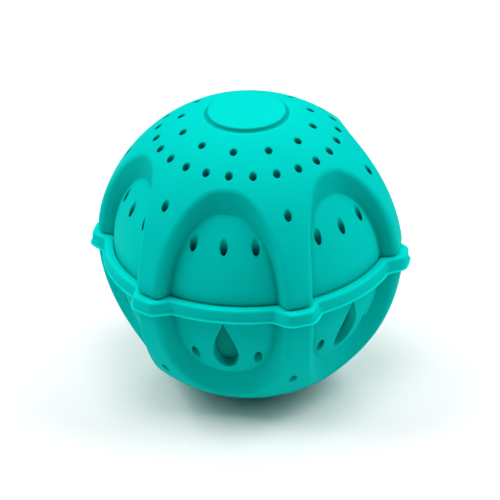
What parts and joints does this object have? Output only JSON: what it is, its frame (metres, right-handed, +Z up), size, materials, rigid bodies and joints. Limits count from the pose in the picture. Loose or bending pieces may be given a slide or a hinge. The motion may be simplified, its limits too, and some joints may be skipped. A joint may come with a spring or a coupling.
{
  "type": "laundry ball",
  "caption": "Hollow laundry ball whose soft, perforated shells plug together round a slotted capsule that holds loose ceramic beads.",
  "frame": {"origin": "middle of the flat foot on the underside, where the ball stands", "axes": "+Z up along the ball's axis, from the foot to the disc on top; seen from -Y, +X is to the right, and the nearest window's middle is 12 degrees to the left of -Y"},
  "size_m": [0.0986, 0.097, 0.094],
  "materials": {
    "soft_teal": "satin, fine even grain",
    "hard_teal": "smooth moulded, half gloss",
    "white_bead": "unglazed",
    "grey_bead": "unglazed",
    "sand_bead": "unglazed",
    "terracotta_bead": "unglazed"
  },
  "bodies": {
    "lower_shell": {"lower_shell": "soft_teal"},
    "upper_shell": {"upper_shell": "soft_teal"},
    "capsule_base": {"capsule_base": "hard_teal", "white_bead_01": "white_bead", "white_bead_02": "white_bead", "white_bead_03": "white_bead", "white_bead_04": "white_bead", "white_bead_05": "white_bead", "white_bead_06": "white_bead", "white_bead_07": "white_bead", "white_bead_08": "white_bead", "white_bead_09": "white_bead", "white_bead_10": "white_bead", "white_bead_11": "white_bead", "white_bead_12": "white_bead", "grey_bead_01": "grey_bead", "grey_bead_02": "grey_bead", "grey_bead_03": "grey_bead", "grey_bead_04": "grey_bead", "grey_bead_05": "grey_bead", "grey_bead_06": "grey_bead", "grey_bead_07": "grey_bead", "grey_bead_08": "grey_bead", "grey_bead_09": "grey_bead", "grey_bead_10": "grey_bead", "grey_bead_11": "grey_bead", "grey_bead_12": "grey_bead", "sand_bead_01": "sand_bead", "sand_bead_02": "sand_bead", "sand_bead_03": "sand_bead", "sand_bead_04": "sand_bead", "sand_bead_05": "sand_bead", "sand_bead_06": "sand_bead", "sand_bead_07": "sand_bead", "sand_bead_08": "sand_bead", "sand_bead_09": "sand_bead", "sand_bead_10": "sand_bead", "sand_bead_11": "sand_bead", "sand_bead_12": "sand_bead", "terracotta_bead_01": "terracotta_bead", "terracotta_bead_02": "terracotta_bead", "terracotta_bead_03": "terracotta_bead", "terracotta_bead_04": "terracotta_bead", "terracotta_bead_05": "terracotta_bead", "terracotta_bead_06": "terracotta_bead", "terracotta_bead_07": "terracotta_bead", "terracotta_bead_08": "terracotta_bead", "terracotta_bead_09": "terracotta_bead", "terracotta_bead_10": "terracotta_bead", "terracotta_bead_11": "terracotta_bead", "terracotta_bead_12": "terracotta_bead"},
    "capsule_cap": {"capsule_cap": "hard_teal"}
  },
  "joints": [
    {"name": "upper_shell_lift", "type": "slide", "parent": "lower_shell", "child": "upper_shell", "axis": [0, 0, 1], "range_m": [0, 0.18]},
    {"name": "capsule_lift", "type": "slide", "parent": "lower_shell", "child": "capsule_base", "axis": [0, 0, 1], "range_m": [0, 0.06]},
    {"name": "capsule_cap_lift", "type": "slide", "parent": "capsule_base", "child": "capsule_cap", "axis": [0, 0, 1], "range_m": [0, 0.06]}
  ],
  "couplings": [
    {"joint": "capsule_lift", "follows": "upper_shell_lift", "ratio": 0.33333},
    {"joint": "capsule_cap_lift", "follows": "upper_shell_lift", "ratio": 0.33333}
  ]
}
